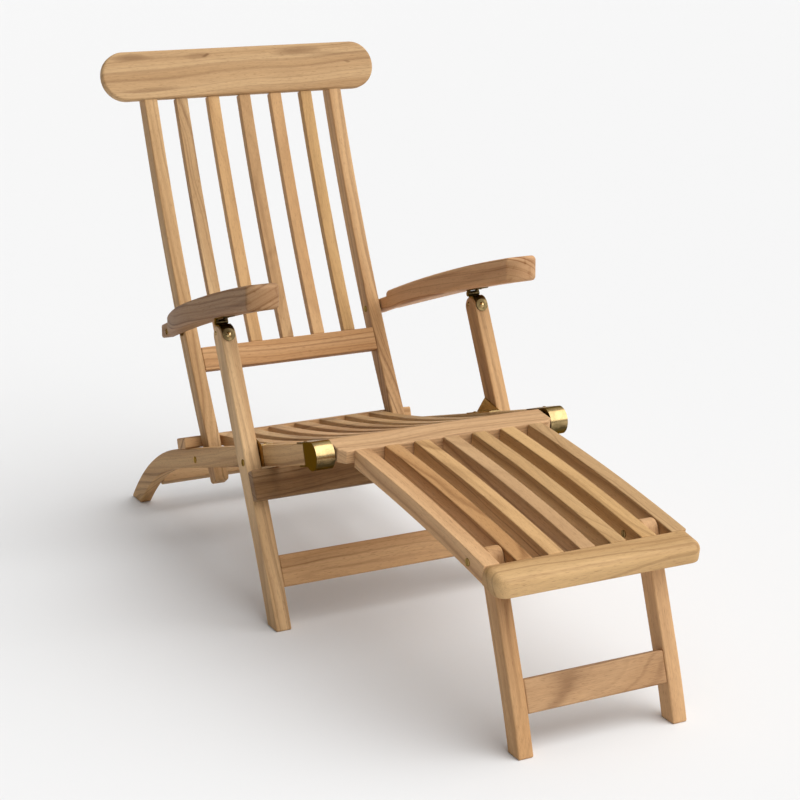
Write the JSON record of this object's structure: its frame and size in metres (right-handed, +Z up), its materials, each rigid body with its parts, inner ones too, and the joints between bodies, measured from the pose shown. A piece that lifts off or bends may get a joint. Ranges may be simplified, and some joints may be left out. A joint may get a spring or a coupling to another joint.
{
  "type": "steamer deck chair",
  "caption": "Folding slatted wooden deck chair with curved back, dished seat, flat arms, brass fittings and a hinged leg rest on its own folding legs.",
  "frame": {"origin": "on the floor, under the middle of the open chair's outline", "axes": "+Z up, +Y towards the head end, -Y towards the foot end, +X to the sitter's left seen from behind"},
  "size_m": [0.604, 1.5168, 0.9648],
  "materials": {
    "teak": "sanded, unfinished",
    "brass": "polished"
  },
  "bodies": {
    "root": {"side_rail_left": "teak", "side_rail_right": "teak", "rear_stretcher": "teak", "seat_rear_rail": "teak", "seat_front_rail": "teak", "seat_slat_1": "teak", "seat_slat_2": "teak", "seat_slat_3": "teak", "seat_slat_4": "teak", "seat_slat_5": "teak", "seat_slat_6": "teak", "seat_slat_7": "teak", "leg_rest_cup_left": "brass", "leg_rest_cup_right": "brass", "cup_screws": "brass", "leg_rest_pivot_pins": "brass", "pivot_plate_left": "brass", "pivot_plate_right": "brass", "pivot_plate_screws": "brass", "back_pivot_bolts": "brass", "back_pivot_washers": "brass", "front_leg_pivot_bolts": "brass"},
    "back": {"back_post_left": "teak", "back_post_right": "teak", "headboard": "teak", "back_cross_rail": "teak", "back_slat_1": "teak", "back_slat_2": "teak", "back_slat_3": "teak", "back_slat_4": "teak", "back_slat_5": "teak", "arm_bolts": "brass", "arm_washers": "brass"},
    "arms": {"arm_left": "teak", "arm_right": "teak", "arm_hinge_leaves": "brass", "arm_hinge_pins": "brass", "leaf_screws": "brass"},
    "front_legs": {"front_leg_left": "teak", "front_leg_right": "teak", "front_apron": "teak", "front_leg_stretcher": "teak", "leg_hinge_straps": "brass", "strap_screws": "brass"},
    "leg_rest": {"leg_rest_rear_rail": "teak", "leg_rest_nosing": "teak", "leg_rest_slat_1": "teak", "leg_rest_slat_2": "teak", "leg_rest_slat_3": "teak", "leg_rest_slat_4": "teak", "leg_rest_slat_5": "teak", "leg_rest_slat_6": "teak", "leg_rest_slat_7": "teak", "leg_rest_leg_bolts": "brass"},
    "leg_rest_legs": {"leg_rest_leg_left": "teak", "leg_rest_leg_right": "teak", "leg_rest_stretcher": "teak"}
  },
  "joints": [
    {"name": "back_fold", "type": "hinge", "parent": "root", "child": "back", "pos_m": [0, 0.36243, 0.191], "axis": [1, 0, 0], "range_deg": [0, 68]},
    {"name": "front_leg_swing", "type": "hinge", "parent": "root", "child": "front_legs", "pos_m": [0, 0.02843, 0.281], "axis": [1, 0, 0], "range_deg": [0, 68]},
    {"name": "arm_swing", "type": "hinge", "parent": "back", "child": "arms", "pos_m": [0, 0.48843, 0.426], "axis": [1, 0, 0], "range_deg": [-68, 0]},
    {"name": "leg_rest_tilt", "type": "hinge", "parent": "root", "child": "leg_rest", "pos_m": [0, -0.21499, 0.35688], "axis": [-1, 0, 0], "range_deg": [-25, 80]},
    {"name": "leg_rest_leg_fold", "type": "hinge", "parent": "leg_rest", "child": "leg_rest_legs", "pos_m": [0, -0.64592, 0.29225], "axis": [1, 0, 0], "range_deg": [0, 108]}
  ],
  "couplings": [
    {"joint": "front_leg_swing", "follows": "back_fold", "ratio": 1},
    {"joint": "arm_swing", "follows": "back_fold", "ratio": -1}
  ]
}
